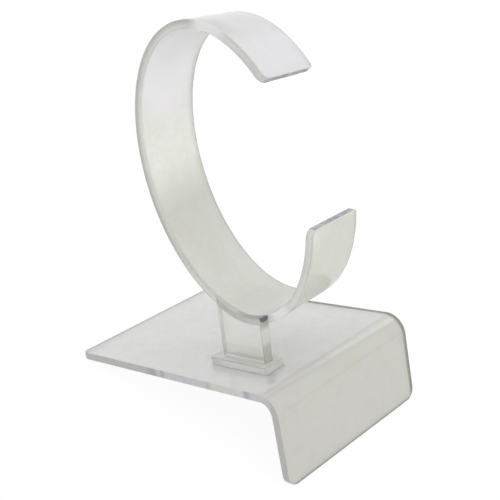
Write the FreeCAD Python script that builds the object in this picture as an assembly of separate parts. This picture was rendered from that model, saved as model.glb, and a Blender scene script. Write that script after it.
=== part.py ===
import FreeCAD, Part
import math
import os

os.makedirs("parts", exist_ok=True)

# Sheet and cut edges
# All pieces are clear sheet. The straight cut edges are lightly broken.
sheet = 2.0
edge_break = 0.2

# Base
# One sheet with a flat top, bent down at the front into a label lip.
base_width = 50.0
base_flat = 65.8
bend_radius = 3.1
bend_angle = 91.0
lip_flat = 18.1
rear_corner = 1.5
lip_corner = 3.0

# Foot pad
# A small plate that widens the foot of the post. Its place is set by the post.
pad_border_rear = 2.9
pad_border_front = 1.7
pad_border_sides = 1.9
pad_corner = 0.3

# Post
# A short upright plate that stands nearer one side of the base.
post_width = 14.0
post_thickness = 2.9
post_height = 9.9
post_from_rear = 45.6
post_from_side = 9.9
post_lean = 5.5
post_corner = 0.3

# Cuff
# A flat strip bent to an open oval that leans back over the base.
cuff_half_depth = 20.4
cuff_half_height = 34.3
cuff_width = 20.9
cuff_lean = 12.45
cuff_turn = 10.3
cuff_tip = 4.05
cuff_mouth_angle = 28.7
cuff_lower_angle = 29.6
cuff_corner = 2.2
cuff_far_corner = 0.9
cuff_seat_angle = 253.1


def point(x, y, z):
    return FreeCAD.Vector(x, y, z)


def sharp_edges(shape, smallest=25.0):
    """Edges where two faces meet at a real corner, not at a smooth join."""
    found = []
    for edge in shape.Edges:
        if edge.Length < 0.05:
            continue
        faces = [face for face in shape.Faces if any(edge.isSame(other) for other in face.Edges)]
        if len(faces) != 2:
            continue
        middle = edge.valueAt((edge.FirstParameter + edge.LastParameter) / 2.0)
        normals = []
        for face in faces:
            u, v = face.Surface.parameter(middle)
            normals.append(face.normalAt(u, v))
        if math.degrees(normals[0].getAngle(normals[1])) > smallest:
            found.append(edge)
    return found


def edges_along(shape, direction, near, reach):
    """Straight edges that run along a direction within reach of a point."""
    found = []
    for edge in shape.Edges:
        if edge.Curve.TypeId != "Part::GeomLine":
            continue
        run = edge.tangentAt(edge.FirstParameter)
        if abs(abs(run.dot(direction)) - 1.0) > 1e-6:
            continue
        if edge.CenterOfMass.distanceToPoint(near) < reach:
            found.append(edge)
    return found


# Base outline
# The profile lies in the XZ plane, with the rear top edge at zero.
outer_radius = bend_radius + sheet
bend = math.radians(bend_angle)


def on_bend(radius, angle):
    return point(base_flat + radius * math.sin(angle), 0, radius * math.cos(angle) - outer_radius)


lip_run = point(math.cos(bend), 0, -math.sin(bend))
lip_out = point(math.sin(bend), 0, math.cos(bend))
outer_start = on_bend(outer_radius, 0.0)
outer_middle = on_bend(outer_radius, bend / 2.0)
outer_end = on_bend(outer_radius, bend)
inner_start = on_bend(bend_radius, 0.0)
inner_middle = on_bend(bend_radius, bend / 2.0)
inner_end = on_bend(bend_radius, bend)
lip_outer_foot = outer_end + lip_run * lip_flat
lip_inner_foot = inner_end + lip_run * lip_flat
profile = Part.Wire([
    Part.LineSegment(point(0, 0, 0), outer_start).toShape(),
    Part.Arc(outer_start, outer_middle, outer_end).toShape(),
    Part.LineSegment(outer_end, lip_outer_foot).toShape(),
    Part.LineSegment(lip_outer_foot, lip_inner_foot).toShape(),
    Part.LineSegment(lip_inner_foot, inner_end).toShape(),
    Part.Arc(inner_end, inner_middle, inner_start).toShape(),
    Part.LineSegment(inner_start, point(0, 0, -sheet)).toShape(),
    Part.LineSegment(point(0, 0, -sheet), point(0, 0, 0)).toShape(),
])
base = Part.Face(profile).extrude(point(0, base_width, 0))

# Base corners
# The rear corners are nearly square, and the lip's lower corners are rounder.
rear_middle = point(0, 0, -sheet / 2.0)
lip_middle = (lip_outer_foot + lip_inner_foot) * 0.5
rear_edges = []
lip_edges = []
for side in (0.0, base_width):
    rear_edges += edges_along(base, point(0, 0, 1), rear_middle + point(0, side, 0), 0.1)
    lip_edges += edges_along(base, lip_out, lip_middle + point(0, side, 0), 0.1)
base = base.makeFillet(rear_corner, rear_edges)
lip_edges = []
for side in (0.0, base_width):
    lip_edges += edges_along(base, lip_out, lip_middle + point(0, side, 0), 0.1)
base = base.makeFillet(lip_corner, lip_edges)
base = base.makeChamfer(edge_break, sharp_edges(base))

# Post place
# The post leans a little from square with the base, towards the lip.
lean_run = math.tan(math.radians(post_lean))
seat_x = post_from_rear + post_width / 2.0 + post_height * lean_run
post_back = post_from_side + post_thickness
pad_top = sheet

# Foot pad
pad_length = pad_border_rear + post_width + pad_border_front
pad_width = post_thickness + 2.0 * pad_border_sides
pad_start = point(post_from_rear - pad_border_rear, post_from_side - pad_border_sides, 0)
pad = Part.makeBox(pad_length, pad_width, pad_top, pad_start)
upright = [edge for edge in pad.Edges if abs(edge.tangentAt(edge.FirstParameter).z) > 0.999]
pad = pad.makeFillet(pad_corner, upright)
pad = pad.makeChamfer(edge_break, sharp_edges(pad))

# Cuff outline
# The inside is part of an ellipse. The outside keeps the sheet's thickness from it.
lean = math.radians(cuff_lean)


def cuff_point(angle, offset):
    x = cuff_half_depth * math.cos(angle)
    z = cuff_half_height * math.sin(angle)
    out_x = cuff_half_height * math.cos(angle)
    out_z = cuff_half_depth * math.sin(angle)
    size = math.hypot(out_x, out_z)
    x += offset * out_x / size
    z += offset * out_z / size
    return point(x * math.cos(lean) - z * math.sin(lean), 0, x * math.sin(lean) + z * math.cos(lean))


def cuff_curve(start, end, offset, steps):
    angles = [start + (end - start) * step / steps for step in range(steps + 1)]
    curve = Part.BSplineCurve()
    curve.interpolate([cuff_point(angle, offset) for angle in angles])
    return curve.toShape()


strip_start = math.radians(cuff_mouth_angle)
strip_end = 2.0 * math.pi - math.radians(cuff_lower_angle)
inside = cuff_curve(strip_start, strip_end, 0.0, 48)
outside = cuff_curve(strip_start, strip_end, sheet, 48)
upper_end = Part.LineSegment(cuff_point(strip_start, 0.0), cuff_point(strip_start, sheet)).toShape()
lower_end = Part.LineSegment(cuff_point(strip_end, 0.0), cuff_point(strip_end, sheet)).toShape()
strip_face = Part.Face(Part.Wire([inside, lower_end, outside, upper_end]))
cuff = strip_face.extrude(point(0, cuff_width, 0))
for angle in (strip_start, strip_end):
    through = (cuff_point(angle, sheet) - cuff_point(angle, 0.0)).normalize()
    middle = cuff_point(angle, sheet / 2.0)
    for side, radius in ((0.0, cuff_corner), (cuff_width, cuff_far_corner)):
        corner = edges_along(cuff, through, middle + point(0, side, 0), 0.1)
        cuff = cuff.makeFillet(radius, corner)

# Cuff seat
# The strip's underside meets the top of the post, and the strip's near edge
# meets the back of the post at the post's front corner.
seat_angle = math.radians(cuff_seat_angle)
seat_point = cuff_point(seat_angle, sheet)
near_edge = post_back - post_width / 2.0 * math.tan(math.radians(cuff_turn))
seat_place = point(seat_x, near_edge, pad_top + post_height)
turned = FreeCAD.Rotation(point(0, 0, 1), cuff_turn)
tipped = FreeCAD.Rotation(point(1, 0, 0), -cuff_tip)
cuff_rotation = tipped.multiply(turned)
cuff_place = FreeCAD.Placement(seat_place - cuff_rotation.multVec(seat_point), cuff_rotation)
cuff.transformShape(cuff_place.toMatrix())

# Post
# The blank runs up past the strip. The cuff's own outline is then cut away from
# it, so that the front of the post laps the strip's edge and the rest carries it.
blank_height = post_height + cuff_half_depth
blank_foot = point(post_from_rear, post_from_side, pad_top)
blank_run = point(post_width, 0, 0)
blank_rise = point(blank_height * lean_run, 0, blank_height)
blank_outline = Part.makePolygon([
    blank_foot,
    blank_foot + blank_run,
    blank_foot + blank_run + blank_rise,
    blank_foot + blank_rise,
    blank_foot,
])
post = Part.Face(blank_outline).extrude(point(0, post_thickness, 0))
upright = [edge for edge in post.Edges if edge.tangentAt(edge.FirstParameter).getAngle(blank_rise) < 0.001
           or edge.tangentAt(edge.FirstParameter).getAngle(blank_rise) > math.pi - 0.001]
post = post.makeFillet(post_corner, upright)


def filled_oval(offset, start, depth):
    curve = Part.BSplineCurve()
    angles = [2.0 * math.pi * step / 72 for step in range(72)]
    curve.interpolate([cuff_point(angle, offset) for angle in angles], PeriodicFlag=True)
    oval = Part.Face(Part.Wire(curve.toShape())).extrude(point(0, depth, 0))
    oval.translate(point(0, start, 0))
    oval.transformShape(cuff_place.toMatrix())
    return oval


post = post.cut(filled_oval(sheet, 0.0, cuff_width))
post = post.cut(filled_oval(0.0, -cuff_width, cuff_width))
post = post.removeSplitter()

# Resting place
# The stand rests on the base's rear edge and on the foot of the lip.
rear_contact = point(edge_break, 0, -sheet)
lip_contact = lip_inner_foot + lip_out * edge_break
slope = math.degrees(math.atan2(rear_contact.z - lip_contact.z, lip_contact.x - rear_contact.x))
resting = FreeCAD.Placement(point(0, 0, 0), FreeCAD.Rotation(point(0, 1, 0), -slope))
pieces = {"base": base, "foot_pad": pad, "post": post, "cuff": cuff}
for shape in pieces.values():
    shape.transformShape(resting.toMatrix())
bounds = base.optimalBoundingBox(False, False)
to_origin = point(-(bounds.XMin + bounds.XMax) / 2.0, -base_width / 2.0, -bounds.ZMin)

for name, shape in pieces.items():
    shape.translate(to_origin)
    shape.exportStep("parts/" + name + ".step")
    box = shape.optimalBoundingBox(False, False)
    low = [round(value, 2) for value in (box.XMin, box.YMin, box.ZMin)]
    high = [round(value, 2) for value in (box.XMax, box.YMax, box.ZMax)]
    print(name, "volume", round(shape.Volume, 1), "from", low, "to", high, shape.isValid(), len(shape.Solids))

label_face = outer_end + lip_run * (lip_flat / 2.0) + point(0, base_width / 2.0, 0)
label_place = resting.multVec(label_face) + to_origin
label_normal = resting.Rotation.multVec(lip_out)
print("slope", round(slope, 3))
print("label face centre", [round(value, 3) for value in label_place], "normal", [round(value, 5) for value in label_normal])
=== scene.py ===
# %% [markdown]
# # A clear watch stand
# The real stand is four pieces of clear acrylic, cemented together. A sheet is bent into a base
# with a sloping top and a label lip, a small pad and a short post stand on it, and a strip bent
# to an open oval carries the watch. Nothing moves. The solids are loaded first, because every
# piece made here has to lie exactly where its solid lies.

# %% Load the solids
import math
import bmesh
import bpy
from mathutils import Matrix, Vector


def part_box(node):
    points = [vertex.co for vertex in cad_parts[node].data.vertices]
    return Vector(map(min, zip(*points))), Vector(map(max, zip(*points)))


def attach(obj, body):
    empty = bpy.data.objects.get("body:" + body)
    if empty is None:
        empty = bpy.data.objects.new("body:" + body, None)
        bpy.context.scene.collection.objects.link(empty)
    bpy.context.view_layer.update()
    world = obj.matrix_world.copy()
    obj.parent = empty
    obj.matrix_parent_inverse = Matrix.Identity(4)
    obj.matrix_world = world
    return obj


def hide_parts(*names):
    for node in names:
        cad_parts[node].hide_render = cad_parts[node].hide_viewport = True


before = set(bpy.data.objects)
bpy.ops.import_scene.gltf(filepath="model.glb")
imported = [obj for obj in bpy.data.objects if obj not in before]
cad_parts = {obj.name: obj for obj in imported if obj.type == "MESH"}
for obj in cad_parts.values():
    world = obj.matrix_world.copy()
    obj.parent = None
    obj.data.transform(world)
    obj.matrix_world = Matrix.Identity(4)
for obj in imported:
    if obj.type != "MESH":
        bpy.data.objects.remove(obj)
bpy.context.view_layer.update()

# %% [markdown]
# ## Units and the sloping frame
# The stand was measured along its sloping top, so it is easiest to build there, in millimetres,
# with zero at the rear edge and the top of the sheet at height zero. One matrix then scales
# to metres, tilts the sheet up towards the lip and sets it on its rest. The other way would be
# to place each piece by hand in the room's frame, which loses the simple numbers.

# %% The matrix from the sheet to the room
SHEET = 2.0
BASE_WIDTH = 50.0
BASE_FLAT = 65.8
BEND_RADIUS = 3.1
BEND_ANGLE = 91.0
LIP_FLAT = 18.1
REAR_CORNER = 1.5
LIP_CORNER = 3.0
SLOPE = 17.219
REAR_EDGE = Vector((-37.158, -25.0, 1.8513))
to_room = (Matrix.Scale(0.001, 4) @ Matrix.Translation(REAR_EDGE)
           @ Matrix.Rotation(math.radians(-SLOPE), 4, "Y"))
print("rear top edge in the room, in metres:", (to_room @ Vector((0, 0, 0)))[:])

# %% [markdown]
# ## The camera
# A long lens from above the front corner, as the photograph was taken. It comes early because
# every later choice is judged through it. The two small shifts are half a picture element.

# %% Place the camera
camera_data = bpy.data.cameras.new("view")
camera_data.lens = 71.74
camera_data.sensor_width = 36.0
camera_data.shift_x = -0.001
camera_data.shift_y = 0.001
camera_data.clip_start = 0.01
camera = bpy.data.objects.new("view", camera_data)
camera.location = (0.14255, -0.16340, 0.15855)
camera.rotation_euler = [math.radians(angle) for angle in (61.042, -2.228, 42.370)]
bpy.context.scene.collection.objects.link(camera)
bpy.context.scene.camera = camera
print("camera", camera.location[:], "lens", camera_data.lens)

# %% [markdown]
# ## Helpers for bent sheet
# Every piece is sheet with rims that were sawn and then polished with a flame. One helper
# thickens an open surface, one rounds the hard edges a little, one tells rims from faces so
# that they can have a finish of their own, and one turns the bmesh into a piece. The normals
# are weighted by area, so that a wide flat face stays flat right up to its rounded edge.

# %% Thicken a surface away from a given side
def thicken(bm, outward, amount):
    """Adds sheet thickness on the side that outward(place) points to."""
    bmesh.ops.recalc_face_normals(bm, faces=bm.faces)
    largest = max(bm.faces, key=lambda face: face.calc_area())
    if largest.normal.dot(outward(largest.calc_center_median())) < 0:
        bmesh.ops.reverse_faces(bm, faces=bm.faces)
    bmesh.ops.solidify(bm, geom=bm.faces[:], thickness=-amount)
    bmesh.ops.recalc_face_normals(bm, faces=bm.faces)


# %% Tell rims from faces, and round the hard edges
FACE, RIM, END = 0, 1, 2


def mark_rims(bm, through):
    """Gives the rim finish to the faces that run through the sheet."""
    for face in bm.faces:
        across = abs(face.normal.dot(through(face.calc_center_median())))
        face.material_index = RIM if across < 0.5 else FACE


def round_hard_edges(bm, radius, segments, hard=35.0, finish=-1):
    hard_edges = [edge for edge in bm.edges if edge.calc_face_angle(0.0) > math.radians(hard)]
    bmesh.ops.bevel(bm, geom=hard_edges, offset=radius, offset_type="OFFSET", segments=segments,
                    profile=0.5, affect="EDGES", clamp_overlap=True, material=finish)
    return len(hard_edges)


# %% Turn a bmesh into a piece
def make_piece(name, bm, matrix):
    bmesh.ops.transform(bm, matrix=matrix, verts=bm.verts)
    bmesh.ops.recalc_face_normals(bm, faces=bm.faces)
    mesh = bpy.data.meshes.new(name)
    bm.to_mesh(mesh)
    bm.free()
    mesh.shade_smooth()
    piece = bpy.data.objects.new(name, mesh)
    bpy.context.scene.collection.objects.link(piece)
    weighted = piece.modifiers.new("flat faces stay flat", "WEIGHTED_NORMAL")
    weighted.weight = 90
    corners = [Vector(corner) for corner in piece.bound_box]
    low = [round(min(corner[axis] for corner in corners), 6) for axis in range(3)]
    high = [round(max(corner[axis] for corner in corners), 6) for axis in range(3)]
    print(name, "faces", len(mesh.polygons), "from", low, "to", high)
    return piece


def stand_for(piece, node):
    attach(piece, "root")
    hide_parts(node)
    low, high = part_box(node)
    print("  its solid", node, "from", [round(value, 6) for value in low],
          "to", [round(value, 6) for value in high])


# %% [markdown]
# ## The base
# On the bench this sheet is cut, laid over a hot wire and folded. The mesh is made the same way:
# one edge across the rear is drawn out along the top, spun round the bend, and drawn out again
# down the lip. Spinning gives a true round bend, which a box with a rounded edge would not.

# %% Draw out the base
BEND_STEPS = 28
outer_radius = BEND_RADIUS + SHEET
bend_axis = Vector((BASE_FLAT, 0, -outer_radius))
bend = math.radians(BEND_ANGLE)
lip_run = Vector((math.cos(bend), 0, -math.sin(bend)))
lip_out = Vector((math.sin(bend), 0, math.cos(bend)))


def draw_out(bm, edges, run):
    made = bmesh.ops.extrude_edge_only(bm, edges=edges)["geom"]
    verts = [part for part in made if isinstance(part, bmesh.types.BMVert)]
    bmesh.ops.translate(bm, vec=run, verts=verts)
    return [part for part in made if isinstance(part, bmesh.types.BMEdge)
            and len(part.link_faces) == 1
            and abs((part.verts[0].co - part.verts[1].co).normalized().y) > 0.99]


def spin_edges(bm, edges, centre, axis, angle, steps):
    verts = {vert for edge in edges for vert in edge.verts}
    made = bmesh.ops.spin(bm, geom=list(edges) + list(verts), cent=centre, axis=axis,
                          angle=angle, steps=steps, use_merge=False)["geom_last"]
    return [part for part in made if isinstance(part, bmesh.types.BMEdge)]


bm = bmesh.new()
rear = [bm.verts.new((0, 0, 0)), bm.verts.new((0, BASE_WIDTH, 0))]
leading = draw_out(bm, [bm.edges.new(rear)], Vector((BASE_FLAT, 0, 0)))
leading = spin_edges(bm, leading, bend_axis, (0, 1, 0), bend, BEND_STEPS)
leading = draw_out(bm, leading, lip_run * LIP_FLAT)
print("base surface faces", len(bm.faces), "lowest", round(min(vert.co.z for vert in bm.verts), 3))

# %% [markdown]
# Its four free corners are rounded while it is still one surface, because bevelling a single
# vertex gives a clean arc that the thickness then follows.

# %% Round the base's corners, thicken it and ease its edges
def round_corner(bm, verts, radius, segments):
    bmesh.ops.bevel(bm, geom=verts, offset=radius, offset_type="OFFSET", segments=segments,
                    profile=0.5, affect="VERTICES", material=-1)


REAR_CORNER_STEPS, LIP_CORNER_STEPS = 8, 12
BASE_EASE = 0.22
EASE_STEPS = 3
rear_corners = [vert for vert in bm.verts if vert.co.x < 0.01]
foot_corners = sorted(bm.verts, key=lambda vert: vert.co.z)[:2]
round_corner(bm, rear_corners, REAR_CORNER, REAR_CORNER_STEPS)
round_corner(bm, foot_corners, LIP_CORNER, LIP_CORNER_STEPS)


def through_base(place):
    """Direction through the sheet, away from its upper or outer face."""
    from_axis = place - bend_axis
    if place.x < BASE_FLAT:
        return Vector((0, 0, -1))
    if from_axis.dot(lip_run) > 0:
        return -lip_out
    return -Vector((from_axis.x, 0, from_axis.z)).normalized()


thicken(bm, through_base, SHEET)
mark_rims(bm, through_base)
eased = round_hard_edges(bm, BASE_EASE, EASE_STEPS, finish=RIM)
print("edges eased", eased)
base = make_piece("base_sheet", bm, to_room)
stand_for(base, "base")

# %% [markdown]
# ## The cuff
# The strip was softened and wrapped round a former. A short edge as long as the strip is wide is
# spun about a centre to a nearly closed ring, and the ring is then squeezed to an oval, which
# keeps its sections square. The two ends are single longer steps, so that their corners can be
# rounded by bevelling a vertex. The near corners are rounder than the far ones.

# %% Spin the strip
CUFF_HALF_DEPTH = 20.4
CUFF_HALF_HEIGHT = 34.3
CUFF_WIDTH = 20.9
CUFF_MOUTH = 28.7
CUFF_LOWER = 29.6
CUFF_CORNER = 2.2
CUFF_FAR_CORNER = 0.9
END_STEP = 5.0
LONG_TURN = 360.0 - CUFF_MOUTH - CUFF_LOWER - 2.0 * END_STEP
LONG_TURN_STEPS = 440
mouth = math.radians(CUFF_MOUTH)
start = Vector((math.cos(mouth), 0, math.sin(mouth)))
bm = bmesh.new()
leading = [bm.edges.new([bm.verts.new(start), bm.verts.new(start + Vector((0, CUFF_WIDTH, 0)))])]
for turn, steps in ((END_STEP, 1), (LONG_TURN, LONG_TURN_STEPS), (END_STEP, 1)):
    leading = spin_edges(bm, leading, (0, 0, 0), (0, -1, 0), math.radians(turn), steps)
bmesh.ops.scale(bm, vec=(CUFF_HALF_DEPTH, 1, CUFF_HALF_HEIGHT), verts=bm.verts)
corners = [vert for vert in bm.verts if len(vert.link_faces) == 1]
print("strip faces", len(bm.faces), "corners",
      [tuple(round(value, 2) for value in vert.co) for vert in corners])

# %% Round its corners, thicken it outwards and ease its edges
def through_cuff(place):
    """Direction out through the strip, square to the oval."""
    out = Vector((place.x / CUFF_HALF_DEPTH ** 2, 0, place.z / CUFF_HALF_HEIGHT ** 2))
    return out.normalized()


CUFF_CORNER_STEPS, CUFF_FAR_CORNER_STEPS = 10, 8
CUFF_EASE = 0.2
near_corners = [vert for vert in corners if vert.co.y < CUFF_WIDTH / 2]
round_corner(bm, near_corners, CUFF_CORNER, CUFF_CORNER_STEPS)
far_corners = [vert for vert in bm.verts
               if vert.co.y > CUFF_WIDTH - 0.01 and len(vert.link_faces) == 1]
round_corner(bm, far_corners, CUFF_FAR_CORNER, CUFF_FAR_CORNER_STEPS)
thicken(bm, through_cuff, SHEET)
mark_rims(bm, through_cuff)
for face in bm.faces:
    if face.material_index == RIM and abs(face.normal.y) < 0.3:
        face.material_index = END
eased = round_hard_edges(bm, CUFF_EASE, EASE_STEPS, finish=RIM)
print("edges eased", eased, "strip reach", round(max(vert.co.x for vert in bm.verts), 3))

# %% [markdown]
# ## Where the cuff sits
# The post leans a little and carries the strip's underside, and the strip's near edge touches
# the post's back at one corner. The cuff on the real stand was cemented slightly turned and
# tipped, and the same three angles are used here.

# %% Place the cuff on the post
POST_WIDTH = 14.0
POST_THICKNESS = 2.9
POST_HEIGHT = 9.9
POST_FROM_REAR = 45.6
POST_FROM_SIDE = 9.9
POST_LEAN = 5.5
CUFF_LEAN = 12.45
CUFF_TURN = 10.3
CUFF_TIP = 4.05
SEAT_ANGLE = 253.1
seat_angle = math.radians(SEAT_ANGLE)
on_oval = Vector((CUFF_HALF_DEPTH * math.cos(seat_angle), 0,
                  CUFF_HALF_HEIGHT * math.sin(seat_angle)))
lean = Matrix.Rotation(math.radians(-CUFF_LEAN), 4, "Y")
turned = (Matrix.Rotation(math.radians(-CUFF_TIP), 4, "X")
          @ Matrix.Rotation(math.radians(CUFF_TURN), 4, "Z"))
under_strip = lean @ (on_oval + through_cuff(on_oval) * SHEET)
seat = Vector((POST_FROM_REAR + POST_WIDTH / 2 + POST_HEIGHT * math.tan(math.radians(POST_LEAN)),
               POST_FROM_SIDE + POST_THICKNESS - POST_WIDTH / 2 * math.tan(math.radians(CUFF_TURN)),
               SHEET + POST_HEIGHT))
cuff_place = Matrix.Translation(seat - turned @ under_strip) @ turned
strip_to_room = to_room @ cuff_place @ lean
cuff = make_piece("cuff_strip", bm, strip_to_room)
stand_for(cuff, "cuff")

# %% [markdown]
# ## The post and the pad
# The post's top is cut to the strip, which is a hard shape to repeat by hand, so a copy of its
# solid is taken. Its loose triangles are merged, its flat faces joined up and its edges eased.
# The copies are in metres, as the solids are. Both small pieces are drawn in by two hundredths
# of a millimetre, the thickness of the cement. A function picks their polished faces: on the
# pad all but its narrow eased edges, and on the post its two broad faces and the side towards
# the rear.

# %% Take the small pieces from their solids
CEMENT = 0.00002
PAD_EASE = 0.00004
POST_EASE = 0.00006
SAME_PLACE = 0.000005
SAME_FACE = math.radians(1.0)
SMALL_EASE_STEPS = 2
SMALL_HARD = 40.0
to_sheet_axes = Matrix.Rotation(math.radians(SLOPE), 3, "Y")


def ease_copy(node, name, ease, is_polished):
    bm = bmesh.new()
    bm.from_mesh(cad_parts[node].data)
    bmesh.ops.remove_doubles(bm, verts=bm.verts, dist=SAME_PLACE)
    bmesh.ops.dissolve_limit(bm, angle_limit=SAME_FACE, verts=bm.verts, edges=bm.edges)
    for vert in bm.verts:
        vert.co = vert.co - vert.normal * CEMENT
    for face in bm.faces:
        face.material_index = FACE if is_polished(to_sheet_axes @ face.normal) else RIM
    round_hard_edges(bm, ease, SMALL_EASE_STEPS, hard=SMALL_HARD)
    return make_piece(name, bm, Matrix.Identity(4))


def square_to_sheet(normal):
    return max(abs(part) for part in normal) > 0.9


def side_or_rear(normal):
    return abs(normal.y) > 0.9 or normal.x < -0.5


pad = ease_copy("foot_pad", "pad_plate", PAD_EASE, square_to_sheet)
stand_for(pad, "foot_pad")
post = ease_copy("post", "post_plate", POST_EASE, side_or_rear)
stand_for(post, "post")

# %% [markdown]
# ## Clear acrylic that has been handled
# Cast acrylic is clear and bends light by 1.49. After years on a counter it has a veil of fine
# rubbing, so a part of the light scatters at the surface instead of passing through. In the
# shader the transmission weight sets how much passes, and the base colour tints both parts.
# Plain glass would vanish against a white ground. Every finish starts here, and two short
# helpers then add nodes and link them.

# %% Start a finish
ACRYLIC_IOR = 1.49


def finish(name, clear=0.5):
    material = bpy.data.materials.new(name)
    material.use_nodes = True
    shader = material.node_tree.nodes["Principled BSDF"]
    shader.inputs["IOR"].default_value = ACRYLIC_IOR
    shader.inputs["Transmission Weight"].default_value = clear
    return material, shader


def add(owner, kind, **settings):
    node = owner.node_tree.nodes.new(kind)
    for key, value in settings.items():
        setattr(node, key, value)
    return node


def join(owner, start, end):
    owner.node_tree.links.new(start, end)


# %% [markdown]
# ## Places on the stand
# The tones change from place to place, so a finish has to know where it is. Every piece has its
# place in its mesh, so Object coordinates are metres in the room. A Mapping node turns them into
# the sheet's frame, where x runs to the lip, y across the sheet and z up through it.

# %% Read a place in the room or on the sheet
SHEET_TURN = (0, math.radians(SLOPE), 0)
SHEET_MOVE = tuple(to_sheet_axes @ (-REAR_EDGE * 0.001))


def object_place(material, turn=(0, 0, 0), move=(0, 0, 0), stretch=(1, 1, 1)):
    place = add(material, "ShaderNodeTexCoord")
    mapping = add(material, "ShaderNodeMapping", vector_type="POINT")
    mapping.inputs["Rotation"].default_value = turn
    mapping.inputs["Location"].default_value = move
    mapping.inputs["Scale"].default_value = stretch
    join(material, place.outputs["Object"], mapping.inputs["Vector"])
    return mapping.outputs["Vector"]


def split(material, place):
    parts = add(material, "ShaderNodeSeparateXYZ")
    join(material, place, parts.inputs["Vector"])
    return parts.outputs["X"], parts.outputs["Y"], parts.outputs["Z"]


def in_room(material):
    return split(material, object_place(material))


def in_sheet(material):
    """Run from the rear edge, place across, and height, as on the flat sheet, in metres."""
    return split(material, object_place(material, turn=SHEET_TURN, move=SHEET_MOVE))


print("sheet frame move", [round(value, 5) for value in SHEET_MOVE])


# %% Stretch, add and compare values
def remap(material, value, low, high, to_low, to_high, smooth=False):
    node = add(material, "ShaderNodeMapRange",
               interpolation_type="SMOOTHSTEP" if smooth else "LINEAR")
    node.inputs["From Min"].default_value = low
    node.inputs["From Max"].default_value = high
    node.inputs["To Min"].default_value = to_low
    node.inputs["To Max"].default_value = to_high
    join(material, value, node.inputs["Value"])
    return node.outputs["Result"]


def sum_of(material, first, second, factor=1.0):
    """First plus factor times second."""
    node = add(material, "ShaderNodeMath", operation="MULTIPLY_ADD")
    join(material, second, node.inputs[0])
    node.inputs[1].default_value = factor
    join(material, first, node.inputs[2])
    return node.outputs["Value"]


def largest(material, value, *others):
    for other in others:
        node = add(material, "ShaderNodeMath", operation="MAXIMUM")
        join(material, value, node.inputs[0])
        join(material, other, node.inputs[1])
        value = node.outputs["Value"]
    return value


def between(material, amount, first, second):
    """Goes from the first value to the second as the amount goes from zero to one."""
    node = add(material, "ShaderNodeMix", data_type="FLOAT")
    join(material, amount, node.inputs["Factor"])
    join(material, first, node.inputs["A"])
    join(material, second, node.inputs["B"])
    return node.outputs["Result"]


# %% Mix two colours, and order colours along a length
def blend(material, amount, first, second):
    """Mixes two colours, each a constant or a socket, by a changing amount."""
    node = add(material, "ShaderNodeMix", data_type="RGBA")
    join(material, amount, node.inputs["Factor"])
    for socket, colour in ((node.inputs["A"], first), (node.inputs["B"], second)):
        if isinstance(colour, tuple):
            socket.default_value = (*colour, 1.0)
        else:
            join(material, colour, socket)
    return node.outputs["Result"]


def ramp(material, value, stops):
    node = add(material, "ShaderNodeValToRGB")
    elements = node.color_ramp.elements
    elements.remove(elements[1])
    elements[0].position = stops[0][0]
    elements[0].color = (*stops[0][1], 1.0)
    for position, colour in stops[1:]:
        elements.new(position).color = (*colour, 1.0)
    join(material, value, node.inputs["Fac"])
    return node.outputs["Color"]


# %% [markdown]
# ## Rubbing, mottle and spots
# A cloudy noise varies the rubbing, and a stretched noise makes the very fine lines that a cloth
# leaves. The same clouds, a fine grain and a slight change of hue mottle the tone. A picture of
# scratches could do this too, but noise has no seams and no size of its own. A spot picks out one
# place by its distance. Here spots carry painted highlights, a painted reflection and painted
# shade, as well as patches of tone.

# %% Rub a surface
CLOUD_LOW, CLOUD_HIGH = 0.35, 0.7
RUBBING_SCALE = 70.0
CLOTH_TURN = (0.2, 0.3, 0.5)
CLOTH_STRETCH = (300, 2500, 900)
CLOTH_DEPTH = 0.00002


def cloudy(material, place, scale, detail=4.0):
    noise = add(material, "ShaderNodeTexNoise")
    noise.inputs["Scale"].default_value = scale
    noise.inputs["Detail"].default_value = detail
    noise.inputs["Roughness"].default_value = 0.6
    join(material, place, noise.inputs["Vector"])
    return noise.outputs["Fac"]


def rub(material, shader, seed, smooth_to, dull_to, bump, duller=None):
    """Cloudy dullness and fine cloth lines. A socket can make some places duller still."""
    clouds = cloudy(material, object_place(material, move=(seed, seed, seed)), RUBBING_SCALE)
    dullness = remap(material, clouds, CLOUD_LOW, CLOUD_HIGH, smooth_to, dull_to)
    if duller is not None:
        dullness = sum_of(material, dullness, duller)
    join(material, dullness, shader.inputs["Roughness"])
    along_cloth = object_place(material, turn=CLOTH_TURN, stretch=CLOTH_STRETCH)
    height = add(material, "ShaderNodeBump")
    height.inputs["Strength"].default_value = bump
    height.inputs["Distance"].default_value = CLOTH_DEPTH
    join(material, cloudy(material, along_cloth, 1.0, 2.0), height.inputs["Height"])
    join(material, height.outputs["Normal"], shader.inputs["Normal"])
    return clouds


# %% Mottle a tone, and pick out a spot
PATCH_HIGH, GRAIN_HIGH = 0.68, 0.65
GRAIN_SCALE = 900.0
HUE_SCALE = 180.0
HUE_SEED = (3.0, 1.0, 2.0)
HUES = [(0.34, (0.99, 0.965, 0.97)), (0.49, (1.0, 1.0, 1.0)), (0.66, (0.975, 0.98, 0.94))]


def mottled(material, clouds, tone, dark, share=0.12):
    """Patches a few millimetres wide, a fine grain over them, and a slight change of hue."""
    patches = remap(material, clouds, CLOUD_LOW, PATCH_HIGH, 0.0, share)
    grain = cloudy(material, object_place(material), GRAIN_SCALE, 2.0)
    speck = remap(material, grain, CLOUD_LOW, GRAIN_HIGH, 0.0, share)
    tone = blend(material, speck, blend(material, patches, tone, dark), dark)
    hue_clouds = cloudy(material, object_place(material, move=HUE_SEED), HUE_SCALE, 2.0)
    node = add(material, "ShaderNodeMix", data_type="RGBA", blend_type="MULTIPLY")
    node.inputs["Factor"].default_value = 1.0
    join(material, tone, node.inputs["A"])
    join(material, ramp(material, hue_clouds, HUES), node.inputs["B"])
    return node.outputs["Result"]


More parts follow.
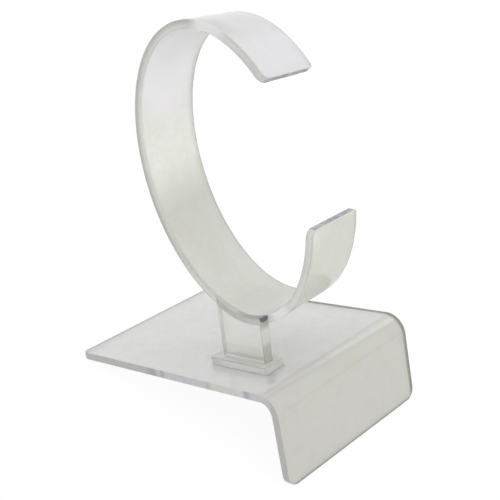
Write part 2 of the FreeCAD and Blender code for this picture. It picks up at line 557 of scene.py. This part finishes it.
def spot(material, place, reach, core=0.3):
    """One near a place in the room, fading to zero at the reach, both in metres."""
    away = add(material, "ShaderNodeVectorMath", operation="DISTANCE")
    join(material, object_place(material), away.inputs[0])
    away.inputs[1].default_value = place
    return remap(material, away.outputs["Value"], reach * core, reach, 1.0, 0.0, smooth=True)


def report(material):
    print(material.name, "nodes", len(material.node_tree.nodes))


# %% [markdown]
# ## The base's finish
# Three zones show on the base. The flat top is a neutral pale grey. Across the bend the tone turns
# a little greener and darker, and the bend is duller where the heat crazed it. The lip is darker
# and warmer. Two fine lines cross the bend, where it lay against the hot wire and the edge of the
# former, the first of them slightly askew.
# A mix of three materials could do it, but ramps along the sheet let the zones fade as they do.

# %% Tone the top, the bend and the lip
BEND_TONE = (0.66, 0.655, 0.61)
ASKEW = -0.028
sheet_finish, shader = finish("rubbed_clear_sheet")
run, across, height = in_sheet(sheet_finish)
crazed = remap(sheet_finish, run, 0.0560, 0.0640, 0.0, 0.14)
clouds = rub(sheet_finish, shader, 0.3, 0.02, 0.09, 0.12, duller=crazed)
join(sheet_finish, remap(sheet_finish, run, 0.0520, 0.0640, 0.50, 0.35),
     shader.inputs["Transmission Weight"])
askew_run = sum_of(sheet_finish, run, across, ASKEW)
top_and_bend = ramp(sheet_finish, remap(sheet_finish, askew_run, 0.0600, 0.0720, 0.0, 1.0), [
    (0.0, (0.86, 0.86, 0.86)), (0.46, (0.86, 0.86, 0.845)), (0.56, (0.81, 0.81, 0.785)),
    (0.60, (0.82, 0.82, 0.80)), (0.635, (0.77, 0.77, 0.75)), (0.67, (0.645, 0.64, 0.59)),
    (0.74, BEND_TONE), (1.0, BEND_TONE)])
lip = ramp(sheet_finish, remap(sheet_finish, height, -0.0025, -0.0075, 0.0, 1.0), [
    (0.0, BEND_TONE), (0.32, (0.66, 0.65, 0.61)), (0.385, (0.63, 0.615, 0.57)),
    (0.45, (0.665, 0.655, 0.61)), (1.0, (0.67, 0.66, 0.625))])
on_lip = remap(sheet_finish, height, -0.0020, -0.0032, 0.0, 1.0)
tone = mottled(sheet_finish, clouds, blend(sheet_finish, on_lip, top_and_bend, lip),
               (0.64, 0.65, 0.61), 0.14)
report(sheet_finish)

# %% [markdown]
# Light that runs along inside the sheet is lost at its rims, so a fine dark line of painted shade
# follows the rear, far and lower edges. In front of the pad the polished sheet mirrors the dark
# side of the post. A short soft streak, a painted reflection, stands for that, because the veil
# hides most of a traced reflection.

# %% Draw the painted dark lines and the painted reflection of the post
MIRRORED_SIDE = ((61.9, 9.4), (62.5, 8.7), (63.1, 7.9), (63.7, 7.1), (64.3, 6.4))
# Painted reflection: a short darker streak in front of the pad stands for the mirrored side of the
# post.
painted_post_reflection = largest(sheet_finish, *[
    spot(sheet_finish, to_room @ Vector((along, aside, 0)), 0.0018, 0.1)
    for along, aside in MIRRORED_SIDE])
tone = blend(sheet_finish, painted_post_reflection, tone, (0.66, 0.67, 0.62))
# Painted shade: fine dark lines along the far, lower and rear edges, where light is lost at the
# rims.
far_line = remap(sheet_finish, across, 0.0483, 0.0490, 0.0, 1.0)
foot_line = remap(sheet_finish, height, -0.0224, -0.0229, 0.0, 0.9)
rear_line = remap(sheet_finish, run, 0.0007, 0.0003, 0.0, 0.85)
painted_dark_lines = largest(sheet_finish, far_line, foot_line, rear_line)
tone = blend(sheet_finish, painted_dark_lines, tone, (0.33, 0.34, 0.28))
join(sheet_finish, tone, shader.inputs["Base Color"])
report(sheet_finish)

# %% [markdown]
# ## The base's rims
# A rim shows light that has run along inside the sheet, so it is darker than the faces; that
# darkness is painted shade. Its tone changes along its length with the room it reflects and bends,
# painted into its colour. Along the base's near rim it goes from olive through a dark bluish mark
# to pale lavender. A colour ramp on the distance from the rear edge gives these stretches in order.

# %% Make the base's rim finish
OLIVE, DARK_BLUE, LAVENDER = (0.55, 0.55, 0.51), (0.43, 0.425, 0.48), (0.66, 0.66, 0.69)
PALE, BROWN, PAINTED_FAR_RIM_SHADE = (0.76, 0.76, 0.72), (0.55, 0.535, 0.52), (0.36, 0.37, 0.31)
PAINTED_REFLECTIONS_ALONG_RIM = [
    (0.0, OLIVE), (0.365, OLIVE), (0.39, DARK_BLUE), (0.41, DARK_BLUE), (0.435, LAVENDER),
    (0.45, DARK_BLUE), (0.475, LAVENDER), (0.66, LAVENDER), (0.685, OLIVE), (0.70, PALE),
    (0.84, PALE), (0.86, DARK_BLUE), (0.88, LAVENDER), (0.94, LAVENDER), (0.965, BROWN)]
rim_finish, shader = finish("polished_rim_of_base", clear=0.15)
clouds = rub(rim_finish, shader, 1.7, 0.08, 0.24, 0.1)
run, across = in_sheet(rim_finish)[:2]
# The ramp paints the room's reflections along the rim as stretches of colour; the far rim gets
# painted shade.
tones = ramp(rim_finish, remap(rim_finish, run, 0.0, 0.072, 0.0, 1.0), PAINTED_REFLECTIONS_ALONG_RIM)
painted_far_shade = remap(rim_finish, across, 0.020, 0.045, 0.0, 1.0)
tones = blend(rim_finish, painted_far_shade, tones, PAINTED_FAR_RIM_SHADE)
join(rim_finish, mottled(rim_finish, clouds, tones, DARK_BLUE, 0.2), shader.inputs["Base Color"])
report(rim_finish)

# %% [markdown]
# ## Places on the strip
# On the bent strip the useful places are how deep a point lies in its thickness and how far it is
# across its width. The strip's own matrix, turned round, brings a point back to the flat oval.
# There its distance from the middle, less that distance divided by the oval's equation, is the
# depth. It is measured from the middle and not square to the strip, so it is a little too deep
# on the slanting parts, but it is zero all along the inside face and needs no UV map.

# %% Read a place in the strip
MILLIMETRES = (1000, 1000, 1000)


def in_strip(material):
    """Place on the flat oval, in millimetres, with y across the strip."""
    back = strip_to_room.inverted()
    return object_place(material, turn=tuple(back.to_euler()), move=tuple(back.translation),
                        stretch=MILLIMETRES)


def depth_in_strip(material, place):
    """How far a place lies out from the strip's inside, in millimetres."""
    lengths = []
    for scale in ((1 / CUFF_HALF_DEPTH, 0, 1 / CUFF_HALF_HEIGHT), (1, 0, 1)):
        scaled = add(material, "ShaderNodeVectorMath", operation="MULTIPLY")
        scaled.inputs[1].default_value = scale
        join(material, place, scaled.inputs[0])
        length = add(material, "ShaderNodeVectorMath", operation="LENGTH")
        join(material, scaled.outputs["Vector"], length.inputs[0])
        lengths.append(length.outputs["Value"])
    in_oval, from_middle = lengths
    at_inside = add(material, "ShaderNodeMath", operation="DIVIDE")
    join(material, from_middle, at_inside.inputs[0])
    join(material, in_oval, at_inside.inputs[1])
    return sum_of(material, from_middle, at_inside.outputs["Value"], -1.0)


back_turn = strip_to_room.inverted().to_euler()
print("strip turned back by degrees", [round(math.degrees(angle), 2) for angle in back_turn])

# %% [markdown]
# ## The cuff's faces
# The strip has the same veil. It is yellow-green and dull low down, and clearer, paler and lavender
# high up. The paleness and the lavender cast up there are painted light from the window and the
# pale room that the strip reflects. Tones that follow the height in the room carry most of this.
# Spots add darker patches at the crest and the upper end, a yellow-green patch at the lower back,
# a painted highlight on the limb and a darker lavender patch at the upper end.

# %% Make the strip's finish
STRIP_TONES_AND_PAINTED_LIGHT = [
    (0.0, (0.88, 0.89, 0.85)), (0.12, (0.80, 0.81, 0.76)), (0.3, (0.73, 0.74, 0.68)),
    (0.45, (0.97, 0.98, 0.93)), (0.6, (0.97, 0.97, 0.95)), (0.85, (0.92, 0.92, 0.91)),
    (1.0, (0.87, 0.87, 0.855))]
CLEAR_SHARES = ((0.0, 0.30), (0.4, 0.42), (0.72, 0.50), (0.85, 0.42), (0.94, 0.30))
UPPER_END, CREST = (0.0020, 0.0060, 0.0880), (-0.0074, -0.0069, 0.0955)
LOWER_BACK, LIMB_HIGHLIGHT = (0.0220, 0.0040, 0.0470), (-0.0256, -0.0045, 0.0800)
UPPER_PATCH = (0.0005, 0.0080, 0.0890)
strip_finish, shader = finish("rubbed_clear_strip")
clouds = rub(strip_finish, shader, 1.1, 0.10, 0.24, 0.05)
up_strip = remap(strip_finish, in_room(strip_finish)[2], 0.028, 0.093, 0.0, 1.0)
tone = ramp(strip_finish, up_strip, STRIP_TONES_AND_PAINTED_LIGHT)
# Spots tone the upper end and the crest darker and keep the lower back yellow-green.
for place, reach, core, colour in ((UPPER_END, 0.018, 0.6, (0.80, 0.80, 0.81)),
                                   (CREST, 0.007, 0.3, (0.72, 0.72, 0.71)),
                                   (LOWER_BACK, 0.018, 0.3, (0.74, 0.75, 0.685))):
    tone = blend(strip_finish, spot(strip_finish, place, reach, core), tone, colour)
dark = ramp(strip_finish, up_strip, [(0.7, (0.70, 0.71, 0.63)), (0.95, (0.76, 0.755, 0.78))])
tone = mottled(strip_finish, clouds, tone, dark, 0.18)
# A painted highlight on the inside of the limb, and a darker lavender patch at the upper end.
for place, reach, core, colour in ((LIMB_HIGHLIGHT, 0.016, 0.4, (1.0, 0.99, 1.0)),
                                   (UPPER_PATCH, 0.009, 0.3, (0.79, 0.78, 0.825))):
    tone = blend(strip_finish, spot(strip_finish, place, reach, core), tone, colour)
clear = ramp(strip_finish, up_strip, [(height, (share,) * 3) for height, share in CLEAR_SHARES])
join(strip_finish, clear, shader.inputs["Transmission Weight"])
across = split(strip_finish, in_strip(strip_finish))[1]
# Painted shade: fine dark lines along both edges of the strip's faces, where light is lost at the
# rims.
painted_edge_shade = largest(strip_finish, remap(strip_finish, across, 20.1, 20.7, 0.0, 0.65),
                     remap(strip_finish, across, 0.7, 0.2, 0.0, 0.35))
tone = blend(strip_finish, painted_edge_shade, tone, (0.52, 0.53, 0.45))
join(strip_finish, tone, shader.inputs["Base Color"])
report(strip_finish)

# %% [markdown]
# ## The cuff's rims
# The side rims are nearly as pale as the faces, with a dark side of painted shade that changes: it
# is the outer one down the limb, the inner one beyond the crest, and the inner one again at the
# post. Three gradients on the depth are mixed by place. Painted highlights, one spot at the crest
# and two by the post, stand for the light that the rim catches there.

# %% Make the strip's rim finish
PAINTED_SHADE_SIDE = (0.46, 0.47, 0.39)
AT_POST = (0.0090, -0.0135, 0.0302)
RIM_CLOUDS = [(0.35, (0.76, 0.76, 0.72)), (0.5, (0.84, 0.84, 0.81)), (0.7, (0.91, 0.91, 0.89))]
PAINTED_HIGHLIGHTS = (((0.0185, -0.0120, 0.0345), 0.0050, 0.3), ((-0.0084, -0.0084, 0.0948), 0.0060, 0.3),
          ((0.0130, -0.0132, 0.0302), 0.0042, 0.5))
cuff_rim_finish, shader = finish("polished_rim_of_cuff", clear=0.3)
clouds = rub(cuff_rim_finish, shader, 2.9, 0.08, 0.24, 0.1)
strip_place = in_strip(cuff_rim_finish)
depth = depth_in_strip(cuff_rim_finish, strip_place)
across = split(cuff_rim_finish, strip_place)[1]
# Painted shade on one side of the rim, changing by place.
on_limb = remap(cuff_rim_finish, depth, 0.4, 1.8, 0.0, 0.85)
past_crest = remap(cuff_rim_finish, depth, 1.2, 0.1, 0.0, 0.25)
by_post = remap(cuff_rim_finish, depth, 1.3, 0.4, 0.0, 0.7)
is_past_crest = remap(cuff_rim_finish, in_room(cuff_rim_finish)[0], -0.014, -0.006, 0.0, 1.0)
is_by_post = spot(cuff_rim_finish, AT_POST, 0.0085, 0.7)
painted_shade_amount = between(cuff_rim_finish, is_past_crest, on_limb, past_crest)
painted_shade_amount = between(cuff_rim_finish, is_by_post, painted_shade_amount, by_post)
tones = blend(cuff_rim_finish, painted_shade_amount, ramp(cuff_rim_finish, clouds, RIM_CLOUDS), PAINTED_SHADE_SIDE)
# The far rim is painted darker.
painted_far_shade = remap(cuff_rim_finish, across, 20.2, 20.8, 0.0, 0.7)
tones = blend(cuff_rim_finish, painted_far_shade, tones, (0.56, 0.57, 0.52))
eased_edges = largest(cuff_rim_finish, remap(cuff_rim_finish, depth, 0.35, 0.1, 0.0, 0.8),
                      remap(cuff_rim_finish, depth, 1.65, 1.9, 0.0, 0.8))
tones = blend(cuff_rim_finish, eased_edges, tones, (0.71, 0.72, 0.68))
# Painted highlights: white spots where the rim catches light.
painted_highlight = largest(cuff_rim_finish, *[spot(cuff_rim_finish, *one) for one in PAINTED_HIGHLIGHTS])
tones = blend(cuff_rim_finish, painted_highlight, tones, (1.0, 1.0, 1.0))
join(cuff_rim_finish, tones, shader.inputs["Base Color"])
report(cuff_rim_finish)

# %% [markdown]
# ## The cuff's ends
# The two ends were sawn and never polished. They are dark and dull, with a few pale chips. One
# noise finer than a millimetre, read through a ramp, gives both the dark ground and the chips.

# %% Make the finish of the sawn ends
CHIPS = [(0.40, (0.22, 0.22, 0.25)), (0.5, (0.34, 0.33, 0.38)), (0.62, (0.40, 0.40, 0.43)),
         (0.68, (0.75, 0.75, 0.73))]
cuff_end_finish, shader = finish("sawn_end_of_cuff", clear=0.1)
rub(cuff_end_finish, shader, 4.1, 0.3, 0.5, 0.5)
chips = cloudy(cuff_end_finish, object_place(cuff_end_finish), 500.0, 3.0)
join(cuff_end_finish, ramp(cuff_end_finish, chips, CHIPS), shader.inputs["Base Color"])
report(cuff_end_finish)

# %% [markdown]
# ## The post's and the pad's finishes
# The post is the clearest piece. A band of cement shows at its foot, and a painted highlight where
# its top laps the strip. Its sawn side is olive below and pale above, with a painted dark block of
# shade at the top corner. The pad is as milky as the base, with fine dark edges of painted shade,
# and its near and lip-side faces are painted a little darker.

# %% Make the post's finish
FOOT_BAND = [
    (0.0, (0.80, 0.81, 0.77)), (0.15, (0.82, 0.83, 0.79)), (0.25, (0.95, 0.95, 0.96)),
    (0.55, (0.94, 0.94, 0.94)), (0.66, (0.80, 0.81, 0.77)), (0.76, (1.0, 1.0, 0.97))]
LAP_HIGHLIGHT = (0.0144, -0.0151, 0.0319)
post_finish, shader = finish("clear_post", clear=0.75)
clouds = rub(post_finish, shader, 2.3, 0.02, 0.1, 0.15)
height = in_sheet(post_finish)[2]
tone = ramp(post_finish, remap(post_finish, height, 0.0020, 0.0040, 0.0, 1.0), FOOT_BAND)
tone = mottled(post_finish, clouds, tone, (0.80, 0.81, 0.76), 0.2)
# Painted highlight where the post's top laps the strip.
painted_highlight = spot(post_finish, LAP_HIGHLIGHT, 0.0026, 0.5)
tone = blend(post_finish, painted_highlight, tone, (1.0, 1.0, 1.0))
join(post_finish, tone, shader.inputs["Base Color"])
report(post_finish)

# %% Make the finish of the post's sawn sides
UP_SIDE = [
    (0.0, (0.54, 0.55, 0.485)), (0.45, (0.58, 0.59, 0.52)), (0.55, (0.78, 0.79, 0.745)),
    (0.72, (0.76, 0.77, 0.735)), (0.80, (0.50, 0.50, 0.44))]
PAINTED_SHADE_BLOCK = (0.0170, -0.0136, 0.0336)
post_rim_finish, shader = finish("sawn_side_of_post", clear=0.5)
clouds = rub(post_rim_finish, shader, 3.3, 0.05, 0.25, 0.2)
towards_lip, _, height = in_room(post_rim_finish)
tones = ramp(post_rim_finish, remap(post_rim_finish, height, 0.018, 0.034, 0.0, 1.0), UP_SIDE)
# Painted shade: a near-black block at the top corner of the sawn side, under the strip.
in_painted_shade_block = spot(post_rim_finish, PAINTED_SHADE_BLOCK, 0.0021, 0.8)
tones = blend(post_rim_finish, in_painted_shade_block, tones, (0.08, 0.075, 0.14))
rear_part = remap(post_rim_finish, towards_lip, 0.012, 0.008, 0.0, 0.9)
tones = blend(post_rim_finish, rear_part, tones, (0.95, 0.96, 0.92))
join(post_rim_finish, mottled(post_rim_finish, clouds, tones, (0.4, 0.4, 0.38)),
     shader.inputs["Base Color"])
report(post_rim_finish)

# %% Make the pad's finishes
pad_finish, shader = finish("clear_pad", clear=0.5)
clouds = rub(pad_finish, shader, 5.3, 0.02, 0.1, 0.15)
run, across = in_sheet(pad_finish)[:2]
# Painted shade: the pad's near and lip-side faces are toned a little darker than its top.
near_side = remap(pad_finish, across, 0.0086, 0.0082, 0.0, 1.0)
lip_side = remap(pad_finish, run, 0.0608, 0.0612, 0.0, 1.0)
tone = mottled(pad_finish, clouds, (1.0, 1.0, 0.98), (0.92, 0.93, 0.89), 0.12)
tone = blend(pad_finish, largest(pad_finish, near_side, lip_side), tone, (0.92, 0.93, 0.90))
join(pad_finish, tone, shader.inputs["Base Color"])
report(pad_finish)

pad_edge_finish, shader = finish("edge_of_pad", clear=0.3)
clouds = rub(pad_edge_finish, shader, 6.1, 0.05, 0.25, 0.1)
# Painted shade: the pad's edges are dark olive, for the darker room seen through them.
tones = mottled(pad_edge_finish, clouds, (0.56, 0.57, 0.51), (0.46, 0.46, 0.43), 0.3)
join(pad_edge_finish, tones, shader.inputs["Base Color"])
report(pad_edge_finish)

# %% [markdown]
# ## Dress the pieces
# Each face already knows whether it is a polished face, a rim or a sawn end, by its slot number.
# The finishes are only added to the pieces in that order. Clearing the slots first would set
# every face back to the first slot.

# %% Give each piece its finishes
for piece, finishes in ((base, (sheet_finish, rim_finish)),
                        (cuff, (strip_finish, cuff_rim_finish, cuff_end_finish)),
                        (pad, (pad_finish, pad_edge_finish)),
                        (post, (post_finish, post_rim_finish))):
    for material in finishes:
        piece.data.materials.append(material)
    print(piece.name, [material.name for material in finishes])

# %% [markdown]
# ## Table and ground
# A pale table and a plain white ground. Both look white to the camera and to light that comes
# through the acrylic or off it. For all other light the table is a pale grey surface and the
# ground a little dimmer. The table still takes the stand's soft shadow.

# %% Tell which rays see the ground itself
def seen_directly(owner):
    """One where a ray comes from the camera, off a reflection or through clear material."""
    path = add(owner, "ShaderNodeLightPath")
    return largest(owner, *[path.outputs[ray] for ray in (
        "Is Camera Ray", "Is Glossy Ray", "Is Transmission Ray")])


def show(owner, hidden, seen, output_kind):
    """Uses one shader where the ground is seen directly, and the hidden one for other light."""
    choose = add(owner, "ShaderNodeMixShader")
    output = add(owner, output_kind)
    join(owner, seen_directly(owner), choose.inputs[0])
    join(owner, hidden.outputs[0], choose.inputs[1])
    join(owner, seen.outputs[0], choose.inputs[2])
    join(owner, choose.outputs[0], output.inputs["Surface"])


def matt(owner, grey):
    shader = add(owner, "ShaderNodeBsdfDiffuse")
    shader.inputs["Color"].default_value = (grey, grey, grey, 1.0)
    return shader


# %% Make the table
TABLE_GREY = 0.8
SHADOW_SHARE = 0.09
TABLE_GLOW = 0.93
bm = bmesh.new()
bmesh.ops.create_grid(bm, x_segments=1, y_segments=1, size=1.5)
floor_mesh = bpy.data.meshes.new("table_top")
bm.to_mesh(floor_mesh)
bm.free()
floor = bpy.data.objects.new("table_top", floor_mesh)
bpy.context.scene.collection.objects.link(floor)

table_paint = bpy.data.materials.new("pale_table")
table_paint.use_nodes = True
table_paint.node_tree.nodes.clear()
glow = add(table_paint, "ShaderNodeEmission")
glow.inputs["Color"].default_value = (1.0, 1.0, 1.0, 1.0)
glow.inputs["Strength"].default_value = TABLE_GLOW
glow_and_shadow = add(table_paint, "ShaderNodeAddShader")
join(table_paint, matt(table_paint, SHADOW_SHARE).outputs[0], glow_and_shadow.inputs[0])
join(table_paint, glow.outputs[0], glow_and_shadow.inputs[1])
show(table_paint, matt(table_paint, TABLE_GREY), glow_and_shadow, "ShaderNodeOutputMaterial")
floor.data.materials.append(table_paint)
report(table_paint)

# %% Make the ground and the light of the room
GROUND_STRENGTH = 1.0
ROOM_STRENGTH = 0.98
world = bpy.data.worlds.new("studio")
bpy.context.scene.world = world
world.use_nodes = True
world.node_tree.nodes.clear()


def white_light(strength):
    light = add(world, "ShaderNodeBackground")
    light.inputs["Color"].default_value = (1.0, 1.0, 1.0, 1.0)
    light.inputs["Strength"].default_value = strength
    return light


show(world, white_light(ROOM_STRENGTH), white_light(GROUND_STRENGTH), "ShaderNodeOutputWorld")
report(world)

# %% [markdown]
# ## Two soft lamps
# The light on the real stand comes from all round. A soft lamp above and behind puts the shine
# on the cuff's upper end, and another at the side lifts the faces that look towards the lip. They
# add to the light of the room, so they are weak.

# %% Hang the lamps
MIDDLE_OF_STAND = (0, 0, 0.06)


def softbox(name, place, size, power, colour):
    data = bpy.data.lights.new(name, "AREA")
    data.shape = "RECTANGLE"
    data.size, data.size_y = size
    data.energy = power
    data.color = colour
    light = bpy.data.objects.new(name, data)
    light.location = place
    towards = Vector(MIDDLE_OF_STAND) - Vector(place)
    light.rotation_euler = towards.to_track_quat("-Z", "Y").to_euler()
    bpy.context.scene.collection.objects.link(light)
    print(name, "at", place, "watts", power)


softbox("window_behind", (0.08, 0.40, 0.48), (0.6, 0.5), 0.25, (0.97, 0.96, 1.0))
softbox("soft_side", (0.52, 0.10, 0.17), (0.4, 0.4), 0.55, (1.0, 1.0, 1.0))
bpy.context.scene.view_settings.view_transform = "Standard"
